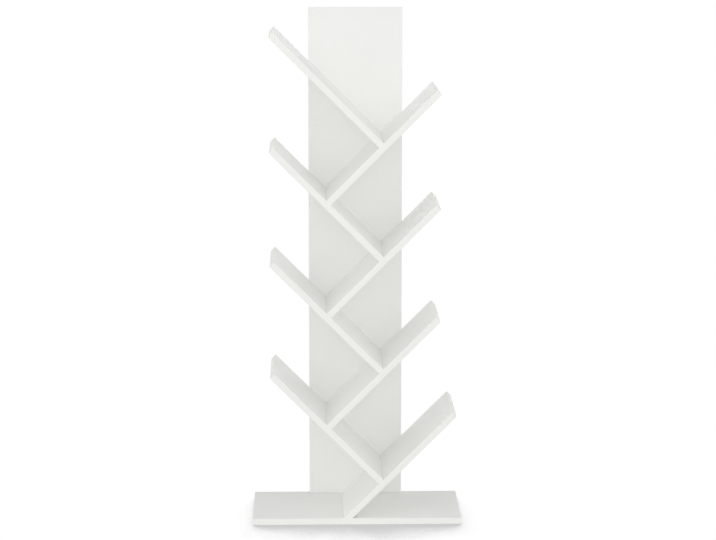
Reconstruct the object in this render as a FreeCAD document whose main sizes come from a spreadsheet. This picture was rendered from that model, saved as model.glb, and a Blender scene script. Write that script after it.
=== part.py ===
"""Tree bookshelf in white faced board, in millimetres.

A base board lies on the floor and carries a back panel. Eight shelves of one length lean at 45 degrees in
front of the panel, in turn to the right and to the left. The lowest stands on the base with a level-cut foot,
and each of the others stands square on the middle of the shelf below it.
The origin is on the floor under the middle of the base, +Z is up and the front faces -Y.
"""
import FreeCAD
import Part
import Sketcher
import os

from FreeCAD import Placement, Rotation, Vector

TIERS = 4
# equal bays on both sides stand plumb at this slope only
LEAN = 45
# flat sides of a fastener and of its hole, in place of a round wall
ROUND_SIDES = 10
SOCKET_SIDES = 6

SIZES = {
    # boards
    "board_thick": "12",
    "base_width": "400",
    "base_depth": "200",
    "panel_width": "182",
    "shelf_length": "292",
    # clear space between two shelves that lean the same way
    "bay_width": "140",
    # from the middle of the base to the toe of the foot, and from the toe up to the first joint
    "foot_offset": "26",
    "first_joint": "95",
    # how far the panel rises above the end of the highest shelf
    "panel_over_top": "36",
    # glued banding on the cut edges
    "band_thick": "0.8",
    "band_round": "0.5",
    # furniture screw with a countersunk head and a hexagon socket
    "screw_length": "40",
    "screw_head": "8.5",
    "screw_shank": "4.5",
    "socket_width": "3",
    "socket_depth": "2.5",
    # short screw of the same kind under the foot, which grips the foot for a share of the board thickness
    "foot_screw_head": "6.5",
    "foot_screw_shank": "3.5",
    "foot_socket_width": "2",
    "foot_socket_depth": "1.5",
    "foot_grip_share": "0.6",
    # wooden dowel, seated in the face of a board for a share of its thickness
    "dowel_diameter": "6",
    "dowel_length": "24",
    "dowel_seat_share": "0.65",
    # stick-on cover of a screw head
    "cover_diameter": "13",
    "cover_thick": "0.4",
    # places of the fasteners across the foot, across the depth of a shelf, along it and across the panel
    "foot_screw_share": "0.3",
    "front_screw_share": "0.2",
    "dowel_share": "0.5",
    "back_screw_share": "0.8",
    "panel_screw_inset": "14",
    "panel_screw_share": "0.25",
    "foot_panel_screw_share": "0.5",
    "base_screw_share": "0.36",
    "base_dowel_share": "0.18",
    # fits
    "fit_clearance": "0.05",
    "drill_overrun": "0.5",
}

THICK = "sizes.board_thick"
MID_THICK = f"({THICK} / 2)"
BAND = "sizes.band_thick"
SLANT = f"cos({LEAN})"
BASE_HALF = "sizes.base_width / 2"
FRONT = "-sizes.base_depth / 2"
PANEL_HALF = "sizes.panel_width / 2"
PANEL_FRONT = f"sizes.base_depth / 2 - {THICK}"
PANEL_MIDDLE = f"sizes.base_depth - {MID_THICK}"
PANEL_BACK = "sizes.base_depth"
SHELF_DEPTH = f"(sizes.base_depth - {THICK})"
CORE_DEPTH = f"({SHELF_DEPTH} - 2 * {BAND})"
FOOT_WIDTH = f"({THICK} / {SLANT})"
# along a shelf, from its lower end to the middle of the shelf that stands on it
JOINT = f"(sizes.bay_width + {MID_THICK})"
TIER_RISE = f"((sizes.bay_width + {THICK}) * 2 * {SLANT})"
TOP_END = f"(sizes.first_joint + {THICK} + sizes.shelf_length) * {SLANT} + {TIERS - 1} * {TIER_RISE}"
PANEL_HEIGHT = f"({TOP_END} + sizes.panel_over_top)"
FOOT_SCREW_LENGTH = f"{THICK} * (1 + sizes.foot_grip_share)"
FOOT_SCREW_X = f"(1 - sizes.foot_screw_share) * {FOOT_WIDTH} - sizes.foot_offset"
DOWEL_SEAT = f"(sizes.dowel_seat_share * {THICK})"
JOINT_SCREW_DEPTHS = [f"sizes.front_screw_share * {SHELF_DEPTH}", f"sizes.back_screw_share * {SHELF_DEPTH}"]
JOINT_DOWEL_DEPTH = f"sizes.dowel_share * {SHELF_DEPTH}"
BASE_SCREWS = [f"{sign} * sizes.base_screw_share * sizes.panel_width" for sign in (-1, 1)]
BASE_DOWELS = [f"{sign} * sizes.base_dowel_share * sizes.panel_width" for sign in (-1, 1)]

doc = FreeCAD.newDocument("tree_bookshelf")
sheet = doc.addObject("Spreadsheet::Sheet", "sizes")
for row, (alias, text) in enumerate(SIZES.items(), start=1):
    sheet.set(f"A{row}", alias)
    sheet.set(f"B{row}", text)
    sheet.setAlias(f"B{row}", alias)
doc.recompute()


def number(expression):
    """The value of an expression in the sizes."""
    return float(sheet.evalExpression(expression))


def bind_place(part, x, y, z):
    """Tie the place of a part, whose turn stays as it is, to the sizes."""
    for axis, expression in zip("xyz", (x, y, z)):
        part.setExpression(f"Placement.Base.{axis}", expression)


def outline(sketch, corners):
    """A closed outline through corners given as pairs of expressions."""
    points = [Vector(number(x), number(y), 0) for x, y in corners]
    for start, end in zip(points, points[1:] + points[:1]):
        sketch.addGeometry(Part.LineSegment(start, end), False)
    for index, corner in enumerate(corners):
        following = (index + 1) % len(corners)
        sketch.addConstraint(Sketcher.Constraint("Coincident", index, 2, following, 1))
        for kind, expression in zip(("DistanceX", "DistanceY"), corner):
            place = Sketcher.Constraint(kind, -1, 1, index, 1, number(expression))
            name = f"corner{index}_{kind}"
            sketch.renameConstraint(sketch.addConstraint(place), name)
            sketch.setExpression(f"Constraints.{name}", expression)


def slab(name, corners, start, length):
    """A body padded along +Y, from a start for a length, with its outline in the XZ plane."""
    body = doc.addObject("PartDesign::Body", name)
    plane = next(feature for feature in body.Origin.OriginFeatures if feature.Role == "XZ_Plane")
    sketch = body.newObject("Sketcher::SketchObject", f"{name}_outline")
    sketch.AttachmentSupport = [(plane, "")]
    sketch.MapMode = "FlatFace"
    sketch.setExpression("AttachmentOffset.Base.z", f"-({start})")
    outline(sketch, corners)
    pad = body.newObject("PartDesign::Pad", f"{name}_pad")
    pad.Profile = sketch
    pad.Reversed = True
    pad.setExpression("Length", length)
    body.Tip = pad
    doc.recompute()
    return body


def strip(name, corners, start, length, axis, along, outermost):
    """One strip of banding, with its two long outer edges rounded.

    axis is the direction the strip faces, outermost is true at its positive end, and along is the direction
    that the strip runs in.
    """
    body = slab(name, corners, start, length)
    padded = body.Tip
    edges = padded.Shape.Edges
    pick = max if outermost else min
    face = pick(edge.CenterOfMass[axis] for edge in edges)
    slack = number("sizes.fit_clearance")
    chosen = []
    for index, edge in enumerate(edges, start=1):
        ends = [vertex.Point for vertex in edge.Vertexes]
        run = abs(ends[0][along] - ends[-1][along])
        if abs(edge.CenterOfMass[axis] - face) < slack and abs(run - edge.Length) < slack:
            chosen.append(f"Edge{index}")
    rounding = body.newObject("PartDesign::Fillet", f"{name}_round")
    rounding.Base = (padded, chosen)
    rounding.setExpression("Radius", "sizes.band_round")
    body.Tip = rounding
    doc.recompute()
    return body


def rectangle(left, right, low, high):
    """The corners of an upright rectangle."""
    return [(left, low), (right, low), (right, high), (left, high)]


class Board:
    """One board before its holes are bored, with the strips of banding on its edges."""

    def __init__(self, label, blank, strips):
        self.label = label
        self.blank = blank
        self.strips = strips

    def set_in_place(self, turn, x, y, z):
        """Put the board and its banding where they belong, from the frame that they were drawn in."""
        for part in (self.blank, *self.strips):
            part.Placement = Placement(Vector(), turn)
            bind_place(part, x, y, z)
        doc.recompute()

    def bore(self, rows):
        """The bored board and its banding, each as one node."""
        board = bored(self.label, self.blank, rows)
        band = doc.addObject("Part::Compound", f"{self.label}_banding")
        band.Links = [bored(f"{piece.Name}_bored", piece, rows) for piece in self.strips]
        return [board, band]


def bored(label, blank, rows):
    """A piece with the holes of the fasteners that pass through it, or the piece itself if none does."""
    holes = [row.holes for row in rows if blank.Name in row.pieces]
    if not holes:
        return blank
    tool = doc.addObject("Part::Compound", f"{label}_holes")
    tool.Links = holes
    piece = doc.addObject("Part::Cut", label)
    piece.Base = blank
    piece.Tool = tool
    return piece


class Shelf(Board):
    """One sloping shelf, drawn with X along it, Y from front to back and Z out of its upper face.

    side is 1 for a shelf that rises to the right and -1 for one that rises to the left. It is drawn from the
    point where its lower face ends at the lower end, which stands at x and z.
    """

    def __init__(self, side, tier, x, z):
        self.side = side
        self.has_foot = side > 0 and tier == 1
        panel_reach = f"sizes.panel_width / 2 - sizes.panel_screw_inset - {side} * ({x})"
        outer_screw = f"({panel_reach}) / {SLANT} + {MID_THICK}"
        if self.has_foot:
            free_end = f"(sizes.shelf_length - {THICK})"
            toe = f"-{THICK}"
            inner_screw = f"sizes.foot_panel_screw_share * sizes.first_joint - {THICK}"
            self.joint = f"(sizes.first_joint - {MID_THICK})"
        else:
            free_end = "sizes.shelf_length"
            toe = "0"
            inner_screw = "sizes.panel_screw_share * sizes.bay_width"
            self.joint = JOINT
        self.panel_screws = [inner_screw, outer_screw]
        label = f"shelf_{'right' if side > 0 else 'left'}_{tier}"
        core_end = f"{free_end} - {BAND}"
        back_start = f"{SHELF_DEPTH} - {BAND}"
        whole = self.profile(toe, free_end)
        tip = rectangle(self.along(core_end), self.along(free_end), "0", THICK)
        super().__init__(label, slab(f"{label}_blank", self.profile(toe, core_end), BAND, CORE_DEPTH), [
            strip(f"{label}_front", whole, "0", BAND, axis=1, along=0, outermost=False),
            strip(f"{label}_back", whole, back_start, BAND, axis=1, along=0, outermost=True),
            strip(f"{label}_end", tip, BAND, CORE_DEPTH, axis=0, along=1, outermost=side > 0),
        ])
        self.back_band = self.strips[1]
        self.set_in_place(Rotation(Vector(0, 1, 0), -side * LEAN), x, FRONT, z)

    def along(self, distance):
        """The X place at a distance from the lower end."""
        return f"{self.side} * ({distance})"

    def profile(self, toe, end):
        """The side outline, from the lower end or the foot to an end."""
        return [("0", "0"), (self.along(end), "0"), (self.along(end), THICK), (self.along(toe), THICK)]

    def pose(self, distance, depth, height, axis):
        """Where a fastener lies on this shelf, with its length turned to an axis of the shelf."""
        place = self.blank.Placement
        point = Vector(number(self.along(distance)), number(depth), number(height))
        return Placement(place.multVec(point), Rotation(Vector(0, 0, 1), place.Rotation.multVec(axis)))


def make_shelves():
    """The eight shelves, from the foot up, in turn to the right and to the left."""
    heel_x = f"({FOOT_WIDTH} - sizes.foot_offset)"
    left_x = f"(sizes.first_joint * {SLANT} - sizes.foot_offset)"
    left_z = f"({THICK} + sizes.first_joint * {SLANT})"
    right_x = f"({left_x} + ({THICK} - sizes.bay_width) * {SLANT})"
    right_z = f"({left_z} - {TIER_RISE} / 2)"
    shelves = [Shelf(1, 1, heel_x, THICK)]
    for tier in range(1, TIERS + 1):
        climb = f"{tier - 1} * {TIER_RISE}"
        if tier > 1:
            shelves.append(Shelf(1, tier, right_x, f"{right_z} + {climb}"))
        shelves.append(Shelf(-1, tier, left_x, f"{left_z} + {climb}"))
    return shelves


def make_panel():
    """The back panel, banded on its sides and top."""
    inner = f"({PANEL_HALF} - {BAND})"
    under_band = f"{PANEL_HEIGHT} - {BAND}"
    left = rectangle(f"-{PANEL_HALF}", f"-{inner}", "0", PANEL_HEIGHT)
    right = rectangle(inner, PANEL_HALF, "0", PANEL_HEIGHT)
    top = rectangle(f"-{inner}", inner, under_band, PANEL_HEIGHT)
    blank = slab("back_panel_blank", rectangle(f"-{inner}", inner, "0", under_band), "0", THICK)
    panel = Board("back_panel", blank, [
        strip("back_panel_left", left, "0", THICK, axis=0, along=2, outermost=False),
        strip("back_panel_right", right, "0", THICK, axis=0, along=2, outermost=True),
        strip("back_panel_top", top, "0", THICK, axis=2, along=0, outermost=True),
    ])
    panel.set_in_place(Rotation(), "0", PANEL_FRONT, THICK)
    return panel


def make_base():
    """The base board, banded all round."""
    inner = f"({BASE_HALF} - {BAND})"
    inner_depth = f"sizes.base_depth - 2 * {BAND}"
    back_start = f"sizes.base_depth - {BAND}"
    whole = rectangle(f"-{BASE_HALF}", BASE_HALF, "0", THICK)
    left = rectangle(f"-{BASE_HALF}", f"-{inner}", "0", THICK)
    right = rectangle(inner, BASE_HALF, "0", THICK)
    blank = slab("base_board_blank", rectangle(f"-{inner}", inner, "0", THICK), BAND, inner_depth)
    base = Board("base_board", blank, [
        strip("base_board_front", whole, "0", BAND, axis=1, along=0, outermost=False),
        strip("base_board_back", whole, back_start, BAND, axis=1, along=0, outermost=True),
        strip("base_board_left", left, BAND, inner_depth, axis=0, along=1, outermost=False),
        strip("base_board_right", right, BAND, inner_depth, axis=0, along=1, outermost=True),
    ])
    base.set_in_place(Rotation(), "0", FRONT, "0")
    return base


class Fastener:
    """One kind of fastener, drawn along Z, and the room that it takes in the boards it joins."""

    def __init__(self, piece, room=None):
        self.piece = piece
        self.room = room


def pin(name, diameter, start, length, sides=ROUND_SIDES):
    """A straight pin along Z, from a start for a length, with its corners on a diameter."""
    prism = doc.addObject("Part::Prism", name)
    prism.Polygon = sides
    prism.setExpression("Circumradius", f"{diameter} / 2")
    prism.setExpression("Height", length)
    prism.setExpression("Placement.Base.z", start)
    return prism


def countersunk(name, head, shank, length, room):
    """A head at the origin that narrows to a straight shank, with its corners widened by some room."""
    neck = f"({head} - {shank}) / 2"
    sections = []
    for index, (diameter, height) in enumerate(((head, "0"), (shank, neck), (shank, length))):
        ring = doc.addObject("Part::RegularPolygon", f"{name}_ring{index}")
        ring.Polygon = ROUND_SIDES
        ring.setExpression("Circumradius", f"{diameter} / 2 + {room}")
        ring.setExpression("Placement.Base.z", height)
        sections.append(ring)
    loft = doc.addObject("Part::Loft", name)
    loft.Sections = sections
    loft.Solid = True
    loft.Ruled = True
    return loft


def make_screw(name, head, shank, length, socket_width, socket_depth):
    """A countersunk screw with a hexagon socket, and its hole."""
    socket_corners = f"{socket_width} / cos(180 / {SOCKET_SIDES})"
    screw = doc.addObject("Part::Cut", name)
    screw.Base = countersunk(f"{name}_turned", head, shank, length, "0")
    screw.Tool = pin(f"{name}_socket", socket_corners, "0", socket_depth, SOCKET_SIDES)
    hole_length = f"{length} + sizes.drill_overrun"
    return Fastener(screw, countersunk(f"{name}_hole", head, shank, hole_length, "sizes.fit_clearance"))


def make_dowel():
    """A wooden dowel, drawn from the face where its two boards meet, and its hole."""
    hole_diameter = "(sizes.dowel_diameter + 2 * sizes.fit_clearance)"
    hole_start = f"-{DOWEL_SEAT} - sizes.drill_overrun"
    hole_length = "sizes.dowel_length + 2 * sizes.drill_overrun"
    dowel = pin("dowel", "sizes.dowel_diameter", f"-{DOWEL_SEAT}", "sizes.dowel_length")
    return Fastener(dowel, pin("dowel_hole", hole_diameter, hole_start, hole_length))


def copies(label, piece, places):
    """Copies of one piece, as separate solids of one object."""
    group = doc.addObject("Part::Feature", label)
    solids = []
    for place in places:
        solid = piece.Shape.copy()
        solid.Placement = place.multiply(solid.Placement)
        solids.append(solid)
    group.Shape = Part.makeCompound(solids)
    group.Placement = Placement()
    return group


class Row:
    """Fasteners of one kind that pass through the same pieces, and the holes that they need there."""

    count = 0

    def __init__(self, node, fastener, places, pieces=()):
        Row.count += 1
        self.node = node
        self.fastener = fastener
        self.places = places
        self.pieces = [piece.Name for piece in pieces]
        if pieces:
            self.holes = copies(f"{node}_holes{Row.count}", fastener.room, places)


def base_pose(x, depth, height):
    """Where a fastener points straight up from a height in the base, at a depth from the front."""
    return Placement(Vector(number(x), number(f"{FRONT} + {depth}"), number(height)), Rotation())


def make_rows(shelves, panel, base):
    """The rows of fasteners that hold the boards together."""
    screw = make_screw("screw", "sizes.screw_head", "sizes.screw_shank", "sizes.screw_length",
                       "sizes.socket_width", "sizes.socket_depth")
    foot_screw = make_screw("foot_screw", "sizes.foot_screw_head", "sizes.foot_screw_shank",
                            FOOT_SCREW_LENGTH, "sizes.foot_socket_width", "sizes.foot_socket_depth")
    dowel = make_dowel()
    cover = Fastener(pin("cover", "sizes.cover_diameter", "-sizes.cover_thick", "sizes.cover_thick"))
    doc.recompute()
    out_of_face = Vector(0, 0, 1)
    to_front = Vector(0, -1, 0)
    rows = []
    for lower, upper in zip(shelves, shelves[1:]):
        joined = [lower.blank, upper.blank]
        screws = [lower.pose(lower.joint, depth, "0", out_of_face) for depth in JOINT_SCREW_DEPTHS]
        middle = [lower.pose(lower.joint, JOINT_DOWEL_DEPTH, THICK, out_of_face)]
        rows.append(Row("joint_screws", screw, screws, joined))
        rows.append(Row("joint_screw_covers", cover, screws))
        rows.append(Row("joint_dowels", dowel, middle, joined))
    for shelf in shelves:
        screws = [shelf.pose(distance, PANEL_BACK, MID_THICK, to_front) for distance in shelf.panel_screws]
        rows.append(Row("panel_screws", screw, screws, [panel.blank, shelf.back_band, shelf.blank]))
    joined = [base.blank, panel.blank]
    screws = [base_pose(x, PANEL_MIDDLE, "0") for x in BASE_SCREWS]
    dowels = [base_pose(x, PANEL_MIDDLE, THICK) for x in BASE_DOWELS]
    feet = [base_pose(FOOT_SCREW_X, depth, "0") for depth in JOINT_SCREW_DEPTHS]
    rows.append(Row("base_screws", screw, screws, joined))
    rows.append(Row("base_dowels", dowel, dowels, joined))
    rows.append(Row("foot_screws", foot_screw, feet, [base.blank, shelves[0].blank]))
    return rows


def gather(rows):
    """The fasteners of all rows, one node for each name."""
    nodes = []
    for label in dict.fromkeys(row.node for row in rows):
        alike = [row for row in rows if row.node == label]
        places = [place for row in alike for place in row.places]
        nodes.append(copies(label, alike[0].fastener.piece, places))
    return nodes


def check_document(nodes):
    """Stop if a feature failed, a cut missed its piece or a node has no sound solid."""
    for item in doc.Objects:
        if "Invalid" in item.State or "Error" in item.State:
            raise RuntimeError(f"{item.Label} failed: {item.State}")
        if item.isDerivedFrom("Part::Cut") and item.Shape.Volume >= item.Base.Shape.Volume:
            raise RuntimeError(f"nothing is cut from {item.Label}")
    for node in nodes:
        if node.Shape.isNull() or not node.Shape.isValid() or not node.Shape.Solids:
            raise RuntimeError(f"{node.Label} has no sound solid")


def main():
    """Make the boards, bore them for their fasteners and write each node to a file of its own name."""
    shelves = make_shelves()
    panel = make_panel()
    base = make_base()
    rows = make_rows(shelves, panel, base)
    nodes = [node for board in (*shelves, panel, base) for node in board.bore(rows)] + gather(rows)
    doc.recompute()
    check_document(nodes)
    os.makedirs("parts", exist_ok=True)
    for node in nodes:
        node.Shape.exportStep(f"parts/{node.Label}.step")


main()
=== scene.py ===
"""White tree bookshelf: its finishes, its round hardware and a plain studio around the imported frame.

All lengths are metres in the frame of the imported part. The origin lies on the floor under the middle of
the base, +Z is up and the front faces -Y.
"""
import logging
import math
from dataclasses import dataclass, replace
from enum import Enum, IntEnum
from typing import Any, Callable, Dict, Iterator, List, Mapping, Optional, Sequence, Tuple, Union

import bmesh
import bpy
import numpy as np
from mathutils import Euler, Matrix, Vector


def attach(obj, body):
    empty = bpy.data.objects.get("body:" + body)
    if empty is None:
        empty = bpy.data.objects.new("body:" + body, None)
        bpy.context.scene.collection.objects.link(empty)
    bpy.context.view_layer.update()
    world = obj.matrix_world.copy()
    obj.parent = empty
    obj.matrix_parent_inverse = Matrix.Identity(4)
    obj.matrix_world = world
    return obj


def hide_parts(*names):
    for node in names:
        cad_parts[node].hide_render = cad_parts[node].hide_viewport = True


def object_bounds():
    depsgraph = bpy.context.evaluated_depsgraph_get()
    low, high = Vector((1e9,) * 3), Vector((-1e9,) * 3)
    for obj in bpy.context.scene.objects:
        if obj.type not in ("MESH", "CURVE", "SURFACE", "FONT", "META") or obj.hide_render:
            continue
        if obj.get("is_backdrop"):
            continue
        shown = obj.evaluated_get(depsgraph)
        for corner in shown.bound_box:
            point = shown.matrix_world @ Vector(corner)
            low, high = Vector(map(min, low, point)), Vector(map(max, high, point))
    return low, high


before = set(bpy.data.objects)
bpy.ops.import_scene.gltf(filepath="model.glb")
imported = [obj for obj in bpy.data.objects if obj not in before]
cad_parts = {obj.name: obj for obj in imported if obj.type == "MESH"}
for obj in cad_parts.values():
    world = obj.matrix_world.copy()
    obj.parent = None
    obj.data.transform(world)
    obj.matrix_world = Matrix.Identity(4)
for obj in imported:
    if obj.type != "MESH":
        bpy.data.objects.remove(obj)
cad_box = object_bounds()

log = logging.getLogger("tree_bookshelf")

Triple = Tuple[float, float, float]
Radius = Callable[[float], float]
Section = Tuple[float, Radius]

BODY = "root"
TIERS = 4
MM = 0.001
WHITE = (1.0, 1.0, 1.0)

# The sine and the cosine of the shelves' slope of 45 degrees
SLANT = math.sqrt(0.5)

# The middle of what runs from 0 to 1, such as noise or a turn
MIDDLE = 0.5

# A sixth of a turn, over which a hexagon has one flat
SIXTH = math.tau / 6.0

# Faces that meet at more than this angle keep a crisp edge between them
CRISP_ANGLE = math.radians(35.0)

# Mesh corners that agree to this many decimal places are one corner
CORNER_PLACES = 6

# A screw head's radius is larger than its shank's by more than this
HEAD_STEP = 1.0 * MM

# A lamp or camera looks straight down until it is tilted, and level at this tilt in degrees
LEVEL_TILT = 90.0


class Stance(Enum):
    """How a board stands, by the direction square to its faces."""

    LEVEL = (0.0, 0.0, 1.0)
    UPRIGHT = (0.0, 1.0, 0.0)
    RISES_RIGHT = (-SLANT, 0.0, SLANT)
    RISES_LEFT = (SLANT, 0.0, SLANT)


class Octaves(Enum):
    """How many finer octaves a noise has."""

    SMOOTH = 1.0
    SOFT = 2.0
    RICH = 3.0


class MixSocket(IntEnum):
    """Where the Mix node has its colour sockets, whose names it repeats for each kind of data."""

    FACTOR = 0
    FIRST = 6
    SECOND = 7
    RESULT = 2


def opaque(colour: Triple) -> Tuple[float, float, float, float]:
    """A colour with its full alpha."""
    return (*colour, 1.0)


def put(name: str, data: bpy.types.ID) -> bpy.types.Object:
    """Put a new object into the scene.

    Args:
        name: Its name.
        data: Its mesh, lamp or camera.

    Returns:
        The object.
    """
    made = bpy.data.objects.new(name, data)
    bpy.context.scene.collection.objects.link(made)
    return made


def looking(dip: float, azimuth: float) -> Euler:
    """The turn of a lamp or camera.

    Args:
        dip: How far below level it looks, in degrees.
        azimuth: How far it is turned to the left from looking straight back, in degrees.

    Returns:
        The turn.
    """
    return Euler((math.radians(LEVEL_TILT - dip), 0.0, math.radians(azimuth)))


class Value:
    """The output of a shader node, on which arithmetic adds Math nodes."""

    def __init__(self, socket: bpy.types.NodeSocket) -> None:
        """Wrap a socket."""
        self.socket = socket

    def of(self, output: str) -> "Value":
        """Another output of the same node."""
        return Value(self.socket.node.outputs[output])

    def math(self, operation: str, first: "Number", second: "Number") -> "Value":
        """Add one Math node to this value's tree.

        Args:
            operation: The Math node's operation.
            first: Its first operand.
            second: Its second operand.

        Returns:
            The result.
        """
        graph = Graph(self.socket.id_data)
        return graph.node("ShaderNodeMath", {"operation": operation}, {0: first, 1: second})

    def __add__(self, other: "Number") -> "Value":
        """The sum of this value and another."""
        return self.math("ADD", self, other)

    def __sub__(self, other: "Number") -> "Value":
        """This value less another."""
        return self.math("SUBTRACT", self, other)

    def __rsub__(self, other: "Number") -> "Value":
        """Another value less this one."""
        return self.math("SUBTRACT", other, self)

    def __mul__(self, other: "Number") -> "Value":
        """The product of this value and another."""
        return self.math("MULTIPLY", self, other)

    def __pow__(self, other: "Number") -> "Value":
        """This value to the power of another."""
        return self.math("POWER", self, other)

    def __rpow__(self, other: "Number") -> "Value":
        """Another value to the power of this one."""
        return self.math("POWER", other, self)

    def __and__(self, other: "Number") -> "Value":
        """The smaller of this value and another."""
        return self.math("MINIMUM", self, other)

    def __or__(self, other: "Number") -> "Value":
        """The larger of this value and another."""
        return self.math("MAXIMUM", self, other)

    # Order doesn't matter in these, so each is its own reflected form
    __radd__ = __add__
    __rmul__ = __mul__
    __rand__ = __and__
    __ror__ = __or__


Number = Union[float, Value]
Plug = Union[float, Sequence[float], Value]
SocketKey = Union[str, int]


class Graph:
    """A node tree that grows by one method, with short forms of the nodes that the finishes share."""

    def __init__(self, tree: bpy.types.NodeTree) -> None:
        """Wrap a node tree."""
        self.tree = tree

    @classmethod
    def fresh(cls, owner: Union[bpy.types.Material, bpy.types.World]) -> "Graph":
        """Switch on the nodes of a material or world and leave only its output there.

        Args:
            owner: The material or world.

        Returns:
            Its graph.
        """
        owner.use_nodes = True
        nodes = owner.node_tree.nodes
        for node in [node for node in nodes if not node.type.startswith("OUTPUT")]:
            nodes.remove(node)
        return cls(owner.node_tree)

    def node(
        self,
        kind: str,
        settings: Optional[Mapping[str, Any]] = None,
        sockets: Optional[Mapping[SocketKey, Plug]] = None,
        output: SocketKey = 0,
    ) -> Value:
        """Add a node.

        Args:
            kind: The node's type.
            settings: Its properties, which are set first.
            sockets: What each input holds or is linked to, by name or number.
            output: The output to return, by name or number.

        Returns:
            That output.
        """
        made = self.tree.nodes.new(kind)
        for name, setting in (settings or {}).items():
            setattr(made, name, setting)
        for key, plug in (sockets or {}).items():
            if isinstance(plug, Value):
                self.tree.links.new(plug.socket, made.inputs[key])
            else:
                made.inputs[key].default_value = plug
        return Value(made.outputs[output])

    def show(self, shader: Value) -> None:
        """Make a shader what the tree puts out."""
        end = next(node for node in self.tree.nodes if node.type.startswith("OUTPUT"))
        self.tree.links.new(shader.socket, end.inputs["Surface"])

    def place(self) -> Value:
        """The point on the surface, in metres."""
        return self.node("ShaderNodeTexCoord", output="Object")

    def noise(self, size: float, octaves: Octaves = Octaves.SOFT, where: Optional[Value] = None) -> Value:
        """Soft noise from 0 to 1.

        Args:
            size: The size of its largest grains.
            octaves: How many finer octaves it has.
            where: The point it is taken at, if that isn't the point on the surface.

        Returns:
            The noise.
        """
        sockets = {"Vector": where or self.place(), "Scale": 1.0 / size, "Detail": octaves.value}
        return self.node("ShaderNodeTexNoise", {}, sockets)

    def vector(self, operation: str, sockets: Mapping[SocketKey, Plug], output: str = "Vector") -> Value:
        """Add one Vector Math node.

        Args:
            operation: The node's operation.
            sockets: What each input holds or is linked to, by name or number.
            output: The output to return.

        Returns:
            That output.
        """
        return self.node("ShaderNodeVectorMath", {"operation": operation}, sockets, output)

    def stretched(self, axis: Triple, factor: float) -> Value:
        """The point on the surface, drawn out along one axis.

        Args:
            axis: The direction.
            factor: How many times as far apart points lie along it.

        Returns:
            The drawn-out point.
        """
        place = self.place()
        along = self.vector("DOT_PRODUCT", {0: place, 1: axis}, "Value")
        step = self.vector("SCALE", {0: axis, "Scale": along * (factor - 1.0)})
        return self.vector("ADD", {0: place, 1: step})

    def blend(self, factor: Value, first: Union[Triple, Value], second: Triple) -> Value:
        """A colour between two others.

        Args:
            factor: The share of the second colour.
            first: The first colour, given or mixed.
            second: The second colour.

        Returns:
            The mixed colour.
        """
        settings = {"data_type": "RGBA", "clamp_factor": True}
        sockets = {
            MixSocket.FACTOR: factor,
            MixSocket.FIRST: first if isinstance(first, Value) else opaque(first),
            MixSocket.SECOND: opaque(second),
        }
        return self.node("ShaderNodeMix", settings, sockets, MixSocket.RESULT)

    def either(self, factor: Value, first: Value, second: Value) -> Value:
        """A shader between two others.

        Args:
            factor: The share of the second shader.
            first: The first shader.
            second: The second shader.

        Returns:
            The mixed shader.
        """
        return self.node("ShaderNodeMixShader", {}, {0: factor, 1: first, 2: second})

    def bump(self, height: Value, depth: float) -> Value:
        """A normal that follows a relief.

        Args:
            height: The relief, whose unit is the depth.
            depth: How deep the relief is.

        Returns:
            The normal.
        """
        return self.node("ShaderNodeBump", {}, {"Strength": 1.0, "Distance": depth, "Height": height})

    def closed(
        self, reach: float, samples: int, toward: Optional[Triple] = None, alone: bool = False
    ) -> Value:
        """The share of the light from one side that things near by keep off.

        Args:
            reach: How far away things still stand in the light.
            samples: How many rays look for them.
            toward: The way to that side, if that isn't square to the surface.
            alone: Whether only the object itself stands in its light.

        Returns:
            The share, from 0 to 1.
        """
        sockets: Dict[SocketKey, Plug] = {"Distance": reach}
        if toward:
            parts = dict(enumerate(Vector(toward).normalized()))
            sockets["Normal"] = self.node("ShaderNodeCombineXYZ", {}, parts)
        settings = {"samples": samples, "only_local": alone}
        return 1.0 - self.node("ShaderNodeAmbientOcclusion", settings, sockets, "AO")

    def rays_that_see(self, mirror_share: float) -> Value:
        """How far a ray shows a thing: 1 for a ray from the camera, 0 for one that only lights something.

        Args:
            mirror_share: How far mirrored rays show it.

        Returns:
            The share.
        """
        straight = self.node("ShaderNodeLightPath", output="Is Camera Ray")
        mirrored = straight.of("Is Glossy Ray") * mirror_share
        return straight | straight.of("Is Transmission Ray") | mirrored


@dataclass(frozen=True)
class Finish:
    """What every finish has.

    Attributes:
        name: The material's name.
        tone: Its colour.
        drift: The colour that it drifts to in places.
        roughness: Its mean roughness.
    """

    name: str
    tone: Triple
    drift: Triple
    roughness: float

    def make(self) -> bpy.types.Material:
        """Make the material of this finish.

        Returns:
            The material.
        """
        material = bpy.data.materials.new(self.name)
        graph = Graph.fresh(material)
        graph.show(graph.node("ShaderNodeBsdfPrincipled", {}, self.inputs(graph)))
        return material

    def inputs(self, graph: Graph) -> Dict[str, Plug]:
        """What goes into the principled shader.

        Args:
            graph: The material's graph.

        Returns:
            The inputs by name.
        """
        raise NotImplementedError


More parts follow.
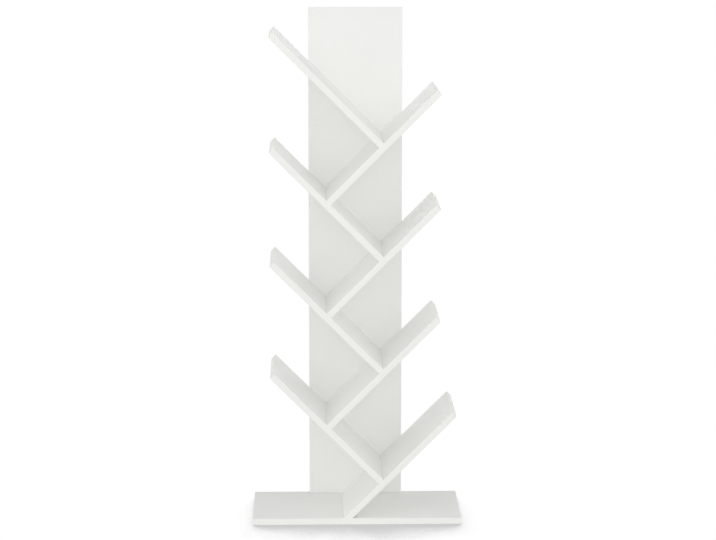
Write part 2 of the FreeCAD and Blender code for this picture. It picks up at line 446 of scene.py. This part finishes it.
@dataclass(frozen=True)
class Melamine(Finish):
    """White resin paper pressed on particle board: a fine pearl emboss over chips that show faintly.

    Where two boards meet, the corner's colour is darkened with painted shade, as far as the near faces
    keep light off.

    Attributes:
        painted_shade_tone: The colour of the painted shade in such a corner.
        pearl: The size of the emboss.
        chip: The size of the chips.
        cloud: The size of the clouds in the white.
        depth: The depth of the relief.
        chip_share: How much the chips count in the relief, and in the colour beside the clouds.
        pearl_share: How much the emboss counts in the colour.
        gloss_spread: How far the roughness swings.
        painted_shade_reach: How far from the corner the painted shade reaches over a face.
        painted_shade_share: How far the face then takes on the painted shade's colour.
        painted_shade_limit: The largest share of the light kept off that the painted shade follows.
        painted_shade_samples: How many rays look for the near faces.
    """

    painted_shade_tone: Triple
    pearl: float = 1.1 * MM
    chip: float = 9.0 * MM
    cloud: float = 70.0 * MM
    depth: float = 0.08 * MM
    chip_share: float = 0.6
    pearl_share: float = 1.6
    gloss_spread: float = 0.12
    painted_shade_reach: float = 2.5 * MM
    painted_shade_share: float = 0.3
    painted_shade_limit: float = 0.5
    painted_shade_samples: int = 4

    def inputs(self, graph: Graph) -> Dict[str, Plug]:
        """What goes into the principled shader.

        Args:
            graph: The material's graph.

        Returns:
            The inputs by name.
        """
        pearl = graph.noise(self.pearl, Octaves.RICH)
        chips = graph.noise(self.chip)
        clouds = graph.noise(self.cloud, Octaves.RICH)
        core = clouds * (1.0 - self.chip_share) + chips * self.chip_share
        white = graph.blend(core + (pearl - MIDDLE) * self.pearl_share, self.tone, self.drift)
        # Painted shade: the corner's colour darkens where other boards stand near and keep light off
        painted_corner_shade = graph.closed(self.painted_shade_reach, self.painted_shade_samples) & self.painted_shade_limit
        return {
            "Base Color": graph.blend(painted_corner_shade * self.painted_shade_share, white, self.painted_shade_tone),
            "Roughness": (clouds + pearl - 2.0 * MIDDLE) * self.gloss_spread + self.roughness,
            "Normal": graph.bump(pearl + chips * self.chip_share, self.depth),
        }


@dataclass(frozen=True)
class Banding(Finish):
    """White plastic edge strip, scraped flush, with faint lines along its length.

    Attributes:
        across: The direction across the strip.
        line: The length of the lines.
        fineness: How many times as long as wide they are.
        grain: The size of the grain between them.
        depth: The depth of the relief.
        gloss_spread: How far the roughness swings.
    """

    across: Triple = Stance.LEVEL.value
    line: float = 60.0 * MM
    fineness: float = 150.0
    grain: float = 0.6 * MM
    depth: float = 0.015 * MM
    gloss_spread: float = 0.16

    def inputs(self, graph: Graph) -> Dict[str, Plug]:
        """What goes into the principled shader.

        Args:
            graph: The material's graph.

        Returns:
            The inputs by name.
        """
        lines = graph.noise(self.line, where=graph.stretched(self.across, self.fineness))
        grain = graph.noise(self.grain)
        return {
            "Base Color": graph.blend(lines, self.tone, self.drift),
            "Roughness": (lines - MIDDLE) * self.gloss_spread + self.roughness,
            "Normal": graph.bump(lines + grain, self.depth),
        }


@dataclass(frozen=True)
class Zinc(Finish):
    """Bright zinc plating, with a cloudy blue to straw tint, a fine sandy texture and painted shade in
    its sockets.

    Attributes:
        painted_shade_tone: The colour of the painted shade deep in a socket.
        cloud: The size of the clouds.
        sand: The size of the texture's grains.
        depth: The depth of the texture.
        gloss_spread: How far the roughness swings.
        painted_shade_reach: How far off a wall still adds painted shade to a socket.
        painted_shade_samples: How many rays look for such walls.
    """

    painted_shade_tone: Triple
    cloud: float = 3.0 * MM
    sand: float = 0.25 * MM
    depth: float = 0.02 * MM
    gloss_spread: float = 0.25
    painted_shade_reach: float = 3.0 * MM
    painted_shade_samples: int = 8

    def inputs(self, graph: Graph) -> Dict[str, Plug]:
        """What goes into the principled shader.

        Args:
            graph: The material's graph.

        Returns:
            The inputs by name.
        """
        clouds = graph.noise(self.cloud, Octaves.RICH)
        sand = graph.noise(self.sand)
        plated = graph.blend(clouds, self.tone, self.drift)
        # Painted shade: the colour darkens deep in a socket, where the screw's own walls keep light off
        painted_socket_shade = graph.closed(self.painted_shade_reach, self.painted_shade_samples, alone=True)
        return {
            "Base Color": graph.blend(painted_socket_shade, plated, self.painted_shade_tone),
            "Metallic": 1.0,
            "Roughness": (clouds - MIDDLE) * self.gloss_spread + self.roughness,
            "Normal": graph.bump(sand, self.depth),
        }


@dataclass(frozen=True)
class Foil(Finish):
    """White self-adhesive foil with a leathery emboss.

    Attributes:
        emboss: The size of the emboss.
        cloud: The size of the clouds in the white.
        depth: The depth of the emboss.
        gloss_spread: How far the roughness swings.
    """

    emboss: float = 0.5 * MM
    cloud: float = 6.0 * MM
    depth: float = 0.04 * MM
    gloss_spread: float = 0.1

    def inputs(self, graph: Graph) -> Dict[str, Plug]:
        """What goes into the principled shader.

        Args:
            graph: The material's graph.

        Returns:
            The inputs by name.
        """
        emboss = graph.noise(self.emboss, Octaves.SMOOTH)
        clouds = graph.noise(self.cloud)
        return {
            "Base Color": graph.blend(clouds, self.tone, self.drift),
            "Roughness": (emboss - MIDDLE) * self.gloss_spread + self.roughness,
            "Normal": graph.bump(emboss, self.depth),
        }


@dataclass(frozen=True)
class Beech(Finish):
    """Plain beech, with grain along dowels that stand square to one axis and short dark flecks.

    Attributes:
        across: That axis.
        grain: The length of the grain's lines.
        fineness: How many times as long as wide they are.
        fleck: The size of the flecks.
        fleck_share: How much the flecks count beside the grain.
        depth: The depth of the relief.
    """

    across: Triple = Stance.UPRIGHT.value
    grain: float = 12.0 * MM
    fineness: float = 14.0
    fleck: float = 0.7 * MM
    fleck_share: float = 0.35
    depth: float = 0.05 * MM

    def inputs(self, graph: Graph) -> Dict[str, Plug]:
        """What goes into the principled shader.

        Args:
            graph: The material's graph.

        Returns:
            The inputs by name.
        """
        grain = graph.noise(self.grain, Octaves.RICH, graph.stretched(self.across, self.fineness))
        flecks = graph.noise(self.fleck, Octaves.SMOOTH)
        tint = grain * (1.0 - self.fleck_share) + flecks * self.fleck_share
        return {
            "Base Color": graph.blend(tint, self.tone, self.drift),
            "Roughness": self.roughness,
            "Normal": graph.bump(tint, self.depth),
        }


WHITE_BOARD = Melamine(
    name="white_melamine",
    tone=(0.868, 0.870, 0.850),
    drift=(0.838, 0.841, 0.820),
    roughness=0.46,
    painted_shade_tone=(0.45, 0.45, 0.43),
)
# The base takes a wider, stronger painted shade in its corners, along the panel's foot and the shelves'
# feet
BASE_BOARD = replace(WHITE_BOARD, name="white_melamine_base", painted_shade_reach=8.0 * MM, painted_shade_share=0.9)
WHITE_BANDING = Banding(
    name="white_banding",
    tone=(0.893, 0.894, 0.865),
    drift=(0.853, 0.855, 0.825),
    roughness=0.58,
)
ZINC = Zinc(
    name="zinc_plating",
    tone=(0.60, 0.62, 0.66),
    drift=(0.70, 0.69, 0.64),
    roughness=0.34,
    painted_shade_tone=(0.03, 0.03, 0.03),
)
WHITE_FOIL = Foil(name="white_foil", tone=(0.80, 0.81, 0.81), drift=(0.77, 0.78, 0.78), roughness=0.5)
BEECH = Beech(name="beech", tone=(0.66, 0.47, 0.30), drift=(0.46, 0.29, 0.16), roughness=0.6)


def dress(node: str, material: bpy.types.Material) -> None:
    """Give a CAD node one material all over.

    Args:
        node: The node's name.
        material: The material.
    """
    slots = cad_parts[node].data.materials
    slots.clear()
    slots.append(material)
    log.info("%s wears %s", node, material.name)


@dataclass
class BoardSet:
    """Boards that stand in one way, each with the banding on its edges.

    Attributes:
        stance: How the boards stand.
        boards: Their nodes.
    """

    stance: Stance
    boards: List[str]

    def banding(self) -> Banding:
        """The banding, whose lines run along the edges of boards that stand this way."""
        name = f"{WHITE_BANDING.name}_{self.stance.name.lower()}"
        return replace(WHITE_BANDING, name=name, across=self.stance.value)

    def dress(self, faces: bpy.types.Material) -> None:
        """Dress the boards and their banding.

        Args:
            faces: The material of the boards' faces.
        """
        edges = self.banding().make()
        for board in self.boards:
            dress(board, faces)
            dress(f"{board}_banding", edges)


def solids(node: str) -> Iterator[np.ndarray]:
    """The separate solids of a CAD node.

    Args:
        node: The node's name.

    Yields:
        The corners of each solid, one row each.
    """
    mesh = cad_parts[node].data
    keys = [tuple(round(number, CORNER_PLACES) for number in vertex.co) for vertex in mesh.vertices]
    leader = {key: key for key in keys}

    def lead(key: Triple) -> Triple:
        """The corner that stands for all those joined to one."""
        while leader[key] != key:
            key = leader[key]
        return key

    for polygon in mesh.polygons:
        first = lead(keys[polygon.vertices[0]])
        for index in polygon.vertices[1:]:
            leader[lead(keys[index])] = first
    groups: Dict[Triple, List[Triple]] = {}
    for key in leader:
        groups.setdefault(lead(key), []).append(key)
    for corners in groups.values():
        yield np.array(corners)


@dataclass
class Seat:
    """Where a fastener lies.

    Attributes:
        point: The middle of its outer face.
        inward: The way into the wood.
        length: Its length that way.
        outer: The radius of its outer end.
        inner: The radius of its inner end.
    """

    point: Vector
    inward: Vector
    length: float
    outer: float
    inner: float

    @classmethod
    def of_solid(cls, corners: np.ndarray, pick: Callable[..., Stance]) -> "Seat":
        """Measure a fastener, which stands square to one of the boards and has its larger end outside.

        Args:
            corners: The fastener's corners.
            pick: max where it is long along its axis, min where it is flat.

        Returns:
            Its seat.
        """
        axis = np.array(pick(Stance, key=lambda stance: np.ptp(corners @ stance.value)).value)
        aside = np.array(Vector(axis).orthogonal().normalized())
        middle = np.zeros(3)
        for direction in (aside, np.cross(axis, aside)):
            reach = corners @ direction
            middle += direction * (reach.min() + reach.max()) / 2.0
        along = corners @ axis
        away = np.linalg.norm(corners - np.outer(along, axis) - middle, axis=1)
        upper = along > (along.min() + along.max()) / 2.0
        low, high = away[~upper].max(), away[upper].max()
        if high > low + HEAD_STEP:
            start, axis, low, high = along.max() * axis, -axis, high, low
        else:
            start = along.min() * axis
        return cls(Vector(middle + start), Vector(axis), float(np.ptp(along)), float(low), float(high))

    def matrix(self) -> Matrix:
        """The frame whose Z points into the wood from the outer face."""
        turn = self.inward.to_track_quat("Z", "Y").to_matrix().to_4x4()
        return Matrix.Translation(self.point) @ turn


def circle(radius: float) -> Radius:
    """A round section."""
    return lambda angle: radius


def hexagon(width: float) -> Radius:
    """A six-sided section, measured across its flats."""
    return lambda angle: width / 2.0 / math.cos(angle % SIXTH - SIXTH / 2.0)


def thread(root: float, crest: float, turns: float, ridge_share: float) -> Radius:
    """A section through a screw thread.

    Args:
        root: The radius between the ridges.
        crest: The radius on the ridge.
        turns: How many turns the ridge has made at this height.
        ridge_share: The share of a turn over which the ridge rises and falls again.

    Returns:
        The radius by angle.
    """
    slope = ridge_share / 2.0

    def radius(angle: float) -> float:
        """The radius at one angle."""
        phase = (turns - angle / math.tau) % 1.0
        return root + (crest - root) * max(0.0, 1.0 - abs(phase - MIDDLE) / slope)

    return radius


@dataclass
class RoundSet:
    """Small hardware of one CAD node, made round in the same places as closed stacks of sections.

    Attributes:
        node: The CAD node.
        slot: The record's material slot; not used.
        sides: How many corners a section has.
    """

    node: str
    slot: str
    sides: int = 24

    def seats(self) -> Iterator[Seat]:
        """Where each piece lies."""
        raise NotImplementedError

    def sections(self, seat: Seat) -> Iterator[Section]:
        """The sections of one piece, in order.

        Args:
            seat: Where it lies.

        Yields:
            The depth below its outer face, into the wood, and the radius by angle.
        """
        raise NotImplementedError

    def add_piece(self, mesh: bmesh.types.BMesh, seat: Seat) -> None:
        """Add one piece to a mesh.

        Args:
            mesh: The mesh.
            seat: Where the piece lies.
        """
        matrix = seat.matrix()
        angles = [math.tau * index / self.sides for index in range(self.sides)]
        rings = []
        for depth, radius in self.sections(seat):
            inward = Vector((0.0, 0.0, depth))
            flat = [Vector((math.cos(angle), math.sin(angle), 0.0)) * radius(angle) for angle in angles]
            rings.append([mesh.verts.new(matrix @ (point + inward)) for point in flat])
        for low, high in zip(rings, rings[1:]):
            for index, corner in enumerate(low):
                mesh.faces.new((low[index - 1], corner, high[index], high[index - 1]))
        mesh.faces.new(rings[0])
        mesh.faces.new(rings[-1])

    def build(self, material: bpy.types.Material) -> None:
        """Build the pieces as one object that stands for the node.

        Args:
            material: Their material.
        """
        mesh = bmesh.new()
        for seat in self.seats():
            self.add_piece(mesh, seat)
        bmesh.ops.recalc_face_normals(mesh, faces=mesh.faces)
        name = f"{self.node}_round"
        data = bpy.data.meshes.new(name)
        mesh.to_mesh(data)
        mesh.free()
        data.shade_smooth()
        data.set_sharp_from_angle(angle=CRISP_ANGLE)
        data.materials.append(material)
        piece = put(name, data)
        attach(piece, BODY)
        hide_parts(self.node)
        log.info("%s stands for %s", name, self.node)


@dataclass
class ScrewSet(RoundSet):
    """Furniture screws, with a countersunk head, a hexagon socket and a thread up to the point.

    Attributes:
        socket_width: The width of the socket across its flats.
        socket_depth: Its depth.
        rim: The width of the head's softened edge, and the radius of the blunt tips.
        proud: How far the head stands out of the wood.
        cover: How far it reaches over the edge of its hole.
        pitch: The length of one turn of the thread.
        ridge_share: The share of a turn over which its ridge rises and falls again.
        root_share: The radius between the ridges as a share of the shank's.
        plain_share: The share of the shank that has no thread.
        point_share: The share of the screw's length that is its point.
        cuts_per_turn: How many sections a turn of the thread has.
    """

    slot: str = "zinc_steel"
    socket_width: float = 3.0 * MM
    socket_depth: float = 2.5 * MM
    rim: float = 0.25 * MM
    proud: float = 0.05 * MM
    cover: float = 0.1 * MM
    pitch: float = 2.2 * MM
    ridge_share: float = 0.5
    root_share: float = 0.7
    plain_share: float = 0.25
    point_share: float = 0.1
    cuts_per_turn: int = 5

    def seats(self) -> Iterator[Seat]:
        """Where each screw lies."""
        return (Seat.of_solid(corners, max) for corners in solids(self.node))

    def sections(self, seat: Seat) -> Iterator[Section]:
        """The sections of one screw, from the bottom of its socket over the head to its point.

        Args:
            seat: Where it lies.

        Yields:
            The depth below its outer face, into the wood, and the radius by angle.
        """
        head = seat.outer + self.cover
        shank = seat.inner
        neck = seat.outer - shank
        end = seat.length * (1.0 - self.point_share)
        start = neck + (end - neck) * self.plain_share
        root = shank * self.root_share
        yield self.socket_depth + self.rim, circle(self.rim)
        yield self.socket_depth, hexagon(self.socket_width)
        yield -self.proud, hexagon(self.socket_width)
        yield -self.proud, circle(head - self.rim)
        yield 0.0, circle(head)
        yield neck, circle(shank)
        yield start, circle(shank)
        cuts = int((end - start) / self.pitch * self.cuts_per_turn)
        for cut in range(1, cuts):
            turns = cut / self.cuts_per_turn
            yield start + turns * self.pitch, thread(root, shank, turns, self.ridge_share)
        yield end, circle(root)
        yield seat.length, circle(self.rim)


@dataclass
class CoverSet(RoundSet):
    """Round foil covers over the screw heads under the shelves.

    Attributes:
        rim: The width of a cover's softened edge.
    """

    slot: str = "white_cover"
    sides: int = 40
    rim: float = 0.15 * MM

    def seats(self) -> Iterator[Seat]:
        """Where each cover lies."""
        return (Seat.of_solid(corners, min) for corners in solids(self.node))

    def sections(self, seat: Seat) -> Iterator[Section]:
        """The sections of one cover, from its softened outer rim to the shelf.

        Args:
            seat: Where it lies.

        Yields:
            The depth below its outer face, into the wood, and the radius by angle.
        """
        yield 0.0, circle(seat.outer - self.rim)
        yield self.rim, circle(seat.outer)
        yield seat.length, circle(seat.outer)


@dataclass(frozen=True)
class Softbox:
    """A square soft lamp.

    Attributes:
        name: Its name.
        place: Where it hangs.
        power: Its power in watts.
        size: The length of its sides.
    """

    name: str
    place: Triple
    power: float
    size: float

    def hang(self, target: Triple) -> None:
        """Hang the lamp.

        Args:
            target: The point that it faces.
        """
        lamp = bpy.data.lights.new(self.name, "AREA")
        lamp.energy = self.power
        lamp.size = self.size
        box = put(self.name, lamp)
        box.location = self.place
        box.rotation_euler = (Vector(target) - Vector(self.place)).to_track_quat("-Z", "Y").to_euler()


@dataclass(frozen=True)
class Fill:
    """Even light from one side that reaches into every bay, as from the wall of a light tent.

    Attributes:
        name: Its name.
        azimuth: The side it comes from in degrees, where 0 is the front and 90 the right.
        elevation: How high it comes from, in degrees.
        level: The brightness that it gives to white paper facing it.
        spread: The angle that it comes in over, in degrees.
    """

    name: str
    azimuth: float
    elevation: float
    level: float
    spread: float = 60.0

    def hang(self) -> None:
        """Hang the light."""
        lamp = bpy.data.lights.new(self.name, "SUN")
        lamp.energy = self.level * math.pi
        lamp.angle = math.radians(self.spread)
        lamp.use_shadow = False
        put(self.name, lamp).rotation_euler = looking(self.elevation, self.azimuth)


@dataclass
class Studio:
    """A white floor in even light, soft lamps in front, and the camera.

    Attributes:
        floor_half: Half the width of the floor.
        floor_drop: How far the floor lies under the object.
        floor_tone: How much light the floor gives back to the object.
        floor_seen_tone: How much of its light the floor shows to the camera, beside its glow.
        floor_glow: How bright the floor glows where nothing shades it.
        cast_reach: How far in front of the object the floor is shaded.
        cast_aside: How far to the left and right the rays for that shade go, for 1 towards the back.
        cast_dip: How far down they go, for 1 towards the back.
        cast_gain: How strong that shade is.
        halo_reach: How far around the object the floor is shaded.
        halo_power: How fast that shade fades outwards.
        halo_gain: How strong it is.
        shade_limit: The largest share of the glow that both shades take away.
        shade_samples: How many rays look for the object.
        mirror_share: How far mirrored rays see the white background.
        sky: How bright the even light from all around is.
        softboxes: The soft lamps.
        fills: The even lights from single sides.
        target: The point that the soft lamps face.
        eye: Where the camera stands.
        yaw: How far it is turned to the right, in degrees.
        pitch: How far it looks down, in degrees.
        lens: Its focal length in millimetres.
        sensor: The width of its sensor in millimetres.
        far: How far it sees.
    """

    floor_half: float = 60.0
    floor_drop: float = 0.2 * MM
    floor_tone: float = 0.8
    floor_seen_tone: float = 0.05
    floor_glow: float = 0.97
    cast_reach: float = 0.15
    cast_aside: float = 1.3
    cast_dip: float = 0.4
    cast_gain: float = 4.8
    halo_reach: float = 0.04
    halo_power: float = 2.0
    halo_gain: float = 0.25
    shade_limit: float = 0.42
    shade_samples: int = 16
    mirror_share: float = 0.4
    sky: float = 0.48
    softboxes: Tuple[Softbox, ...] = (
        Softbox("front_softbox", (-0.1, -4.4, 1.3), 15.0, 1.6),
        Softbox("left_softbox", (-2.4, -2.6, 2.4), 6.0, 2.0),
        Softbox("right_softbox", (2.4, -2.6, 2.4), 5.0, 2.0),
        Softbox("high_softbox", (0.0, -1.6, 3.2), 11.0, 2.0),
    )
    fills: Tuple[Fill, ...] = (
        Fill("front_left_fill", -45.0, 14.0, 0.175),
        Fill("front_right_fill", 45.0, 14.0, 0.175),
        Fill("left_fill", -80.0, 20.0, 0.055),
        Fill("right_fill", 80.0, 20.0, 0.055),
        Fill("back_left_fill", -135.0, 13.0, 0.13),
        Fill("back_right_fill", 135.0, 13.0, 0.13),
        Fill("back_low_fill", 180.0, -25.0, 0.35),
    )
    target: Triple = (0.0, 0.0, 0.5)
    eye: Triple = (-0.0922, -4.4660, 1.2322)
    yaw: float = 1.227
    pitch: float = 9.595
    lens: float = 118.47
    sensor: float = 36.0
    far: float = 200.0

    def lay_floor(self) -> None:
        """Lay the floor."""
        mesh = bmesh.new()
        bmesh.ops.create_grid(mesh, x_segments=1, y_segments=1, size=self.floor_half)
        data = bpy.data.meshes.new("studio_floor")
        mesh.to_mesh(data)
        mesh.free()
        data.materials.append(self.floor_material())
        floor = put("studio_floor", data)
        floor.location.z = -self.floor_drop
        floor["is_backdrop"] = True

    def floor_shade(self, graph: Graph) -> Value:
        """The shade on the floor, in front of the object and close around it.

        Args:
            graph: The floor's graph.

        Returns:
            The share of the glow that it takes away.
        """
        left, right = (
            graph.closed(self.cast_reach, self.shade_samples, (aside, 1.0, -self.cast_dip))
            for aside in (-self.cast_aside, self.cast_aside)
        )
        around = graph.closed(self.halo_reach, self.shade_samples)
        shade = (left & right) * self.cast_gain + around ** self.halo_power * self.halo_gain
        return shade & self.shade_limit

    def floor_material(self) -> bpy.types.Material:
        """The floor's material: white, with the object's shade, and see-through from below.

        Returns:
            The material.
        """
        material = bpy.data.materials.new("studio_floor")
        graph = Graph.fresh(material)
        lit, dim = (
            graph.node("ShaderNodeBsdfDiffuse", {}, {"Color": opaque((tone, tone, tone))})
            for tone in (self.floor_tone, self.floor_seen_tone)
        )
        bright = (1.0 - self.floor_shade(graph)) * self.floor_glow
        glow = graph.node("ShaderNodeEmission", {}, {"Color": bright})
        seen = graph.node("ShaderNodeAddShader", {}, {0: dim, 1: glow})
        above = graph.either(graph.rays_that_see(self.mirror_share), lit, seen)
        under = graph.node("ShaderNodeNewGeometry", output="Backfacing")
        clear = graph.node("ShaderNodeBsdfTransparent")
        graph.show(graph.either(under, above, clear))
        return material

    def light_sky(self) -> None:
        """Surround the object with even light behind a white background."""
        world = bpy.data.worlds.new("studio_sky")
        bpy.context.scene.world = world
        graph = Graph.fresh(world)
        strength = graph.rays_that_see(self.mirror_share) * (1.0 - self.sky) + self.sky
        graph.show(graph.node("ShaderNodeBackground", {}, {"Color": opaque(WHITE), "Strength": strength}))

    def set_camera(self) -> None:
        """Set the camera at the photograph's viewing angle."""
        lens = bpy.data.cameras.new("studio_camera")
        lens.lens = self.lens
        lens.sensor_width = self.sensor
        lens.sensor_fit = "HORIZONTAL"
        lens.clip_end = self.far
        camera = put("studio_camera", lens)
        camera.location = self.eye
        camera.rotation_euler = looking(self.pitch, -self.yaw)
        bpy.context.scene.camera = camera

    def build(self) -> None:
        """Build the whole studio."""
        self.lay_floor()
        self.light_sky()
        for softbox in self.softboxes:
            softbox.hang(self.target)
        for fill in self.fills:
            fill.hang()
        self.set_camera()
        bpy.context.scene.view_settings.view_transform = "Standard"
        log.info("the studio has %d softboxes and %d fills", len(self.softboxes), len(self.fills))


def write_sizes() -> None:
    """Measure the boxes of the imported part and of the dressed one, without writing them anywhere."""
    boxes = {"cad": cad_box, "visual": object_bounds()}
    lists = {name: [list(corner) for corner in box] for name, box in boxes.items()}


def main() -> None:
    """Dress the bookshelf from the floor up, then set up the studio."""
    logging.basicConfig(level=logging.INFO, format="%(name)s: %(message)s")
    tiers = range(1, TIERS + 1)
    BoardSet(Stance.LEVEL, ["base_board"]).dress(BASE_BOARD.make())
    faces = WHITE_BOARD.make()
    for boards in (
        BoardSet(Stance.UPRIGHT, ["back_panel"]),
        BoardSet(Stance.RISES_RIGHT, [f"shelf_right_{tier}" for tier in tiers]),
        BoardSet(Stance.RISES_LEFT, [f"shelf_left_{tier}" for tier in tiers]),
    ):
        boards.dress(faces)
    steel = ZINC.make()
    for screws in (
        ScrewSet("joint_screws"),
        ScrewSet("panel_screws"),
        ScrewSet("base_screws"),
        ScrewSet("foot_screws", socket_width=2.0 * MM, socket_depth=1.5 * MM, pitch=1.8 * MM),
    ):
        screws.build(steel)
    CoverSet("joint_screw_covers").build(WHITE_FOIL.make())
    wood = BEECH.make()
    for node in ("joint_dowels", "base_dowels"):
        dress(node, wood)
    Studio().build()
    write_sizes()


if __name__ == "__main__":
    main()
